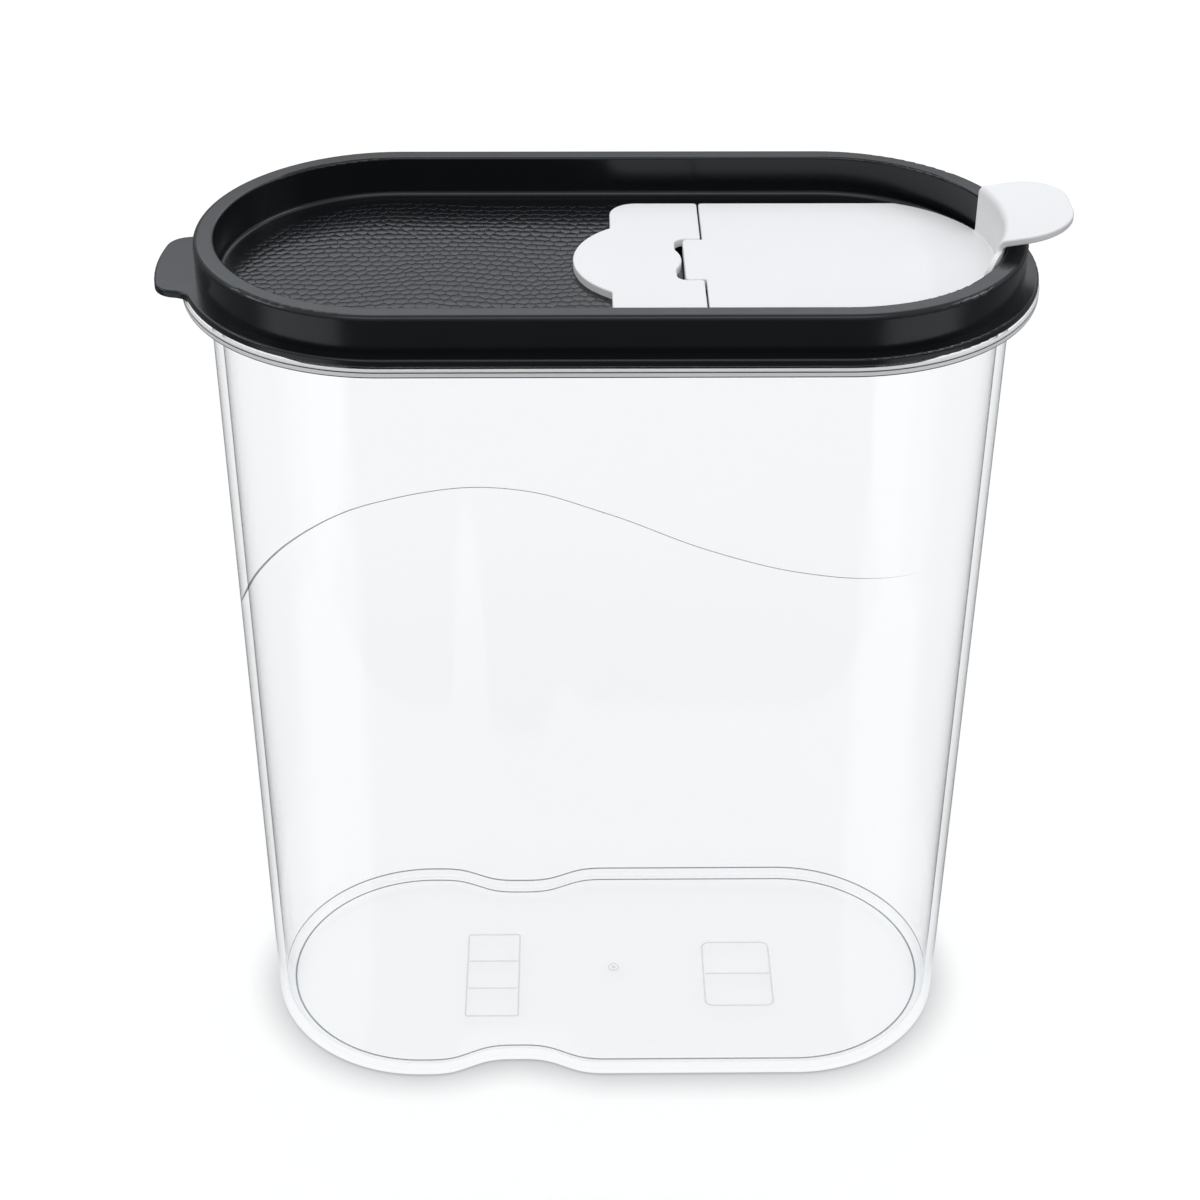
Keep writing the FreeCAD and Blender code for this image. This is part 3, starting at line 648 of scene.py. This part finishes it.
def under_plate(x, y):
    """Whether the hinge plate, with its slab and lobe, hides a point of the tray."""
    slab = x > PLATE_OVERLAP and abs(y) < PLATE_HALF_WIDTH - PLATE_OVERLAP
    return slab or math.hypot(x - LOBE_CENTRE, y) < LOBE_RADIUS - PLATE_OVERLAP


def bend(x, y):
    """Slow waves that keep the grid of cells from looking ruled."""
    bent_x = x + 1.3 * math.sin(y / 9 + 0.7) + 0.8 * math.sin((x + y) / 13)
    bent_y = y + 1.1 * math.sin(x / 11) + 0.7 * math.sin((x - 0.6 * y) / 7 + 1)
    return bent_x, bent_y


def make_tray_texture():
    """Low flat-topped cells with thin creases between them, on a staggered grid that is bent and shaken."""
    shake = random.Random(CELL_SEED)
    shaken = {}

    def corner(x, y):
        key = (round(x * CORNER_GRID), round(y * CORNER_GRID))
        if key not in shaken:
            bent_x, bent_y = bend(x, y)
            shaken[key] = (bent_x + shake.uniform(-CELL_SHAKE, CELL_SHAKE),
                           bent_y + shake.uniform(-CELL_SHAKE, CELL_SHAKE))
        return Vector(shaken[key])

    vertices, faces = [], []
    rows = int(2 * TEXTURE_RADIUS / CELL_DEPTH) + 2
    columns = int((HALF_SPACING + TEXTURE_RADIUS + TEXTURE_END) / CELL_WIDTH) + 2
    third = CELL_DEPTH / 3
    half = CELL_WIDTH / 2
    hexagon = ((0, -2 * third), (half, -third), (half, third),
               (0, 2 * third), (-half, third), (-half, -third))
    sides = len(hexagon)
    for row in range(rows):
        y = -TEXTURE_RADIUS + row * CELL_DEPTH
        for column in range(columns):
            x = -HALF_SPACING - TEXTURE_RADIUS + (column + (row % 2) / 2) * CELL_WIDTH
            fade = smooth_share(0, TEXTURE_FADE, TEXTURE_RADIUS - tray_distance(x, y))
            if fade < LEAST_FADE or under_plate(x, y) or x > TEXTURE_END:
                continue
            outline = [corner(x + dx, y + dy) for dx, dy in hexagon]
            centre = sum(outline, Vector((0, 0))) / sides
            height = CELL_HEIGHT * fade * shake.uniform(CELL_LOWEST, 1.0)
            start = len(vertices)
            for inset, level in CELL_RINGS:
                for point in outline:
                    inward = centre - point
                    place = point + inward.normalized() * min(inset, inward.length * CELL_MOST_INSET)
                    vertices.append((place.x, place.y, TRAY_FLOOR + height * level))
            top = len(vertices)
            vertices.append((centre.x, centre.y, TRAY_FLOOR + height))
            for ring in range(start, top - sides, sides):
                faces += bridge(sides, ring, ring + sides)
            for here in range(sides):
                faces.append((top - sides + here, top - sides + (here + 1) % sides, top))
    make_piece("tray_texture", vertices, faces, black, "lid", CELL_SHARP_ANGLE)


make_tray_texture()

# Hollow curve between the tray's wall and its floor, whose back is sunk a little into both
TRAY_RADIUS = 47.4
HOLLOW_RADIUS = 1.6
HOLLOW_SUNK = 0.05

# How far from the middle it ends at the right end, behind and in front
HOLLOW_BACK = 20.5
HOLLOW_FRONT = 29.5

# Steps along each side, round the left end and round each part of the right end
HOLLOW_SIDE_STEPS = 40
HOLLOW_LEFT_STEPS = 120
HOLLOW_RIGHT_STEPS = 50


def hollow_places():
    """Centre x and outward normal round the tray, except behind the flap's upright wall at the right end."""
    inner = TRAY_RADIUS - HOLLOW_RADIUS
    places = []
    for angle in np.linspace(math.asin(HOLLOW_BACK / inner), QUARTER, HOLLOW_RIGHT_STEPS, endpoint=False):
        places.append((HALF_SPACING, math.cos(angle), math.sin(angle)))
    for x in np.linspace(HALF_SPACING, -HALF_SPACING, HOLLOW_SIDE_STEPS, endpoint=False):
        places.append((x, 0.0, 1.0))
    for angle in np.linspace(QUARTER, 3 * QUARTER, HOLLOW_LEFT_STEPS, endpoint=False):
        places.append((-HALF_SPACING, math.cos(angle), math.sin(angle)))
    for x in np.linspace(-HALF_SPACING, HALF_SPACING, HOLLOW_SIDE_STEPS, endpoint=False):
        places.append((x, 0.0, -1.0))
    for angle in np.linspace(-QUARTER, -math.asin(HOLLOW_FRONT / inner), HOLLOW_RIGHT_STEPS):
        places.append((HALF_SPACING, math.cos(angle), math.sin(angle)))
    return places


def make_tray_hollow():
    places = hollow_places()
    section = [(TRAY_RADIUS + HOLLOW_SUNK, TRAY_FLOOR - HOLLOW_SUNK),
               (TRAY_RADIUS + HOLLOW_SUNK, TRAY_FLOOR + HOLLOW_RADIUS)]
    for angle in arc_steps(10):
        section.append((TRAY_RADIUS - HOLLOW_RADIUS * (1 - math.cos(angle)),
                        TRAY_FLOOR + HOLLOW_RADIUS * (1 - math.sin(angle))))
    section.append((TRAY_RADIUS - HOLLOW_RADIUS, TRAY_FLOOR - HOLLOW_SUNK))
    vertices = [(x + nx * radius, ny * radius, height) for x, nx, ny in places for radius, height in section]
    count = len(section)
    last = (len(places) - 1) * count
    faces = []
    for start in range(0, last, count):
        faces += bridge(count, start, start + count)
    faces += [tuple(range(count))[::-1], tuple(last + here for here in range(count))]
    make_piece("tray_hollow", vertices, faces, black, "lid")


make_tray_hollow()

# Stage, in metres: a white floor that keeps the shadow, and soft light from above and behind
FLOOR_REACH = 6.0
FLOOR_DROP = 0.0002
FLOOR_COLOUR = (0.3, 0.3, 0.3, 1.0)

# The floor's own light, from near the object to far away from it
FLOOR_GLOW = 0.72
FLOOR_FAR_GLOW = 0.88
GLOW_NEAR = 0.8
GLOW_FAR = 3.0

# How far from the object the contact shadow reaches, how deep it is, and its rays
CONTACT_REACH = 0.012
CONTACT_DEPTH = 0.8
CONTACT_SAMPLES = 8

# The floor's level through glass, and in shine within the painted reflection bands and outside them
FLOOR_THROUGH = 1.0
PAINTED_REFLECTION_LEVEL = 1.0
FLOOR_IN_SHINE = 0.2
PAINTED_REFLECTION_COLOUR = (0.9, 0.95, 1.0, 1.0)

# The painted reflection bands, a floor glow that only shine shows: degrees round from straight ahead of each
# end's centre, and level
REFLECTION_BAND_STOPS = ((0.0, 0), (24.0, 0), (29.0, 1), (64.0, 1), (80.0, 0))

# The painted reflection close to the base fades out between these distances from the line between the end
# centres
CLOSE_START = (BASE_RADIUS + 2) * MM
CLOSE_STOP = (BASE_RADIUS + 12) * MM

# The sky's level at the horizon and overhead, and the height on the sky at which it stops rising
SKY_COLOUR = (0.97, 0.985, 1.0, 1.0)
SKY_LOW = 0.3
SKY_HIGH = 0.8
SKY_RISE = 0.7

COOL_LIGHT = (0.86, 0.93, 1.0)
WHITE_LIGHT = (1.0, 1.0, 1.0)

# The photo's viewpoint, found from the outlines of the lid and base, with its lens in millimetres
CAMERA_PITCH = math.radians(33.95)
CAMERA_TURN = math.radians(0.83)
CAMERA_ROLL = math.radians(0.26)
CAMERA_PLACE = (-0.01093, -0.57723, 0.53885)
CAMERA_LENS = 69.46
CAMERA_SENSOR = 36.0
CAMERA_CLIP = 50.0


def painted_reflection_mask(make):
    """Mask of the painted reflections: one on the floor close to the base and, in two soft-edged wedges, in
    front of the round ends.
    """
    place = make.place("Object")
    past = make.calculate("SUBTRACT", make.calculate("ABSOLUTE", place["X"]), HALF_SPACING * MM)
    ahead = make.calculate("MULTIPLY", place["Y"], -1.0)
    turn = make.calculate("ARCTAN2", past, ahead)
    band = make.add("ShaderNodeValToRGB")
    band.color_ramp.interpolation = "EASE"
    while len(band.color_ramp.elements) < len(REFLECTION_BAND_STOPS):
        band.color_ramp.elements.new(0.5)
    for element, (angle, level) in zip(band.color_ramp.elements, REFLECTION_BAND_STOPS):
        element.position = angle / 180
        element.color = (level, level, level, 1)
    make.join(make.calculate("DIVIDE", turn, math.pi), band.inputs["Fac"])
    outside = make.calculate("MAXIMUM", past, 0.0)
    squares = [make.calculate("MULTIPLY", side, side) for side in (outside, ahead)]
    distance = make.calculate("POWER", make.calculate("ADD", *squares), 0.5)
    close = make.ramp(distance, CLOSE_START, CLOSE_STOP, low=1.0, high=0.0)
    return make.greatest(band.outputs["Color"], close)


def floor_material():
    """White paper whose own light shows to the camera, with a painted contact shadow, and through clear
    plastic, and that shows painted reflection bands in shine.
    """
    material = bpy.data.materials.new("stage_floor")
    make = Nodes(material)
    paper = make.add("ShaderNodeBsdfDiffuse")
    paper.inputs["Color"].default_value = FLOOR_COLOUR
    # Painted contact shadow: ambient occlusion darkens the floor's own light near the object, except where it
    # is seen through clear plastic
    near = make.add("ShaderNodeAmbientOcclusion", samples=CONTACT_SAMPLES)
    make.join(CONTACT_REACH, near.inputs["Distance"])
    path = make.add("ShaderNodeLightPath")
    contact = make.calculate("POWER", near.outputs["AO"], CONTACT_DEPTH)
    through_plastic = make.calculate("MINIMUM", path.outputs["Transparent Depth"], 1.0)
    far = make.add("ShaderNodeVectorMath", operation="LENGTH")
    make.join(make.add("ShaderNodeTexCoord").outputs["Object"], far.inputs[0])
    level = make.ramp(far.outputs["Value"], GLOW_NEAR, GLOW_FAR, FLOOR_GLOW, FLOOR_FAR_GLOW)
    glow = make.add("ShaderNodeEmission")
    open_share = make.greatest(contact, through_plastic)
    make.join(make.calculate("MULTIPLY", open_share, level), glow.inputs["Strength"])
    lit = make.add("ShaderNodeAddShader")
    make.join(paper.outputs["BSDF"], lit.inputs[0])
    make.join(glow.outputs["Emission"], lit.inputs[1])
    through = make.add("ShaderNodeEmission")
    make.join(FLOOR_THROUGH, through.inputs["Strength"])
    # Painted reflections: the floor glows in shine only, brightest in the bands and close to the base
    painted_reflection = make.add("ShaderNodeEmission")
    painted_reflection.inputs["Color"].default_value = PAINTED_REFLECTION_COLOUR
    make.join(make.spread(painted_reflection_mask(make), FLOOR_IN_SHINE, PAINTED_REFLECTION_LEVEL), painted_reflection.inputs["Strength"])
    surface = paper.outputs["BSDF"]
    for ray, other in (("Is Glossy Ray", painted_reflection.outputs["Emission"]),
                       ("Is Transmission Ray", through.outputs["Emission"]),
                       ("Is Camera Ray", lit.outputs["Shader"])):
        surface = make.mix(path.outputs[ray], surface, other)
    make.show(surface)
    return material


def make_floor():
    mesh = bpy.data.meshes.new("stage_floor")
    corners = [(-FLOOR_REACH, -FLOOR_REACH, 0), (FLOOR_REACH, -FLOOR_REACH, 0),
               (FLOOR_REACH, FLOOR_REACH, 0), (-FLOOR_REACH, FLOOR_REACH, 0)]
    mesh.from_pydata(corners, [], [(0, 1, 2, 3)])
    mesh.materials.append(floor_material())
    floor = add_object("stage_floor", mesh)
    floor.location.z = -FLOOR_DROP


def make_world():
    """Brighter overhead than at the horizon, and white to the camera and through glass."""
    world = bpy.data.worlds.new("studio")
    bpy.context.scene.world = world
    make = Nodes(world)
    sky = make.add("ShaderNodeBackground")
    sky.inputs["Color"].default_value = SKY_COLOUR
    rise = make.ramp(make.place("Generated")["Z"], 0.0, SKY_RISE, SKY_LOW, SKY_HIGH)
    path = make.add("ShaderNodeLightPath")
    level = make.greatest(rise, path.outputs["Is Transmission Ray"], path.outputs["Is Camera Ray"])
    make.join(level, sky.inputs["Strength"])
    make.show(sky.outputs["Background"], "ShaderNodeOutputWorld")


def softbox(name, place, target, width, height, radiance, colour):
    """A rectangular lamp of an even radiance that faces a target."""
    lamp = bpy.data.lights.new(name, "AREA")
    lamp.shape = "RECTANGLE"
    lamp.size = width
    lamp.size_y = height
    lamp.energy = radiance * math.pi * width * height
    lamp.color = colour
    thing = add_object(name, lamp)
    thing.location = place
    thing.rotation_euler = (Vector(target) - Vector(place)).to_track_quat("-Z", "Y").to_euler()
    thing.visible_camera = False
    thing.visible_transmission = False


def make_camera():
    ahead = Vector((math.sin(CAMERA_TURN) * math.cos(CAMERA_PITCH),
                    math.cos(CAMERA_TURN) * math.cos(CAMERA_PITCH), -math.sin(CAMERA_PITCH)))
    level = Vector((math.cos(CAMERA_TURN), -math.sin(CAMERA_TURN), 0))
    above = level.cross(ahead)
    right = level * math.cos(CAMERA_ROLL) + above * math.sin(CAMERA_ROLL)
    up = above * math.cos(CAMERA_ROLL) - level * math.sin(CAMERA_ROLL)
    lens = bpy.data.cameras.new("photo_view")
    lens.sensor_width = CAMERA_SENSOR
    lens.lens = CAMERA_LENS
    lens.clip_end = CAMERA_CLIP
    camera = add_object("photo_view", lens)
    matrix = Matrix((right, up, -ahead)).transposed().to_4x4()
    matrix.translation = Vector(CAMERA_PLACE)
    camera.matrix_world = matrix
    bpy.context.scene.camera = camera


make_floor()
make_world()
softbox("back_softbox", place=(0, 1.1, 1.3), target=(0, 0, 0.2), width=1.8, height=1.0, radiance=1.1,
        colour=COOL_LIGHT)
softbox("front_softbox", place=(0, -0.9, 1.7), target=(0, 0, 0.1), width=1.4, height=0.5, radiance=1.75,
        colour=WHITE_LIGHT)
for strip, side in (("left_strip", -1), ("right_strip", 1)):
    softbox(strip, place=(1.3 * side, 0.0, 1.15), target=(0, 0, 0.25), width=0.8, height=0.14, radiance=6.5,
            colour=WHITE_LIGHT)
make_camera()
bpy.context.scene.view_settings.view_transform = "Standard"
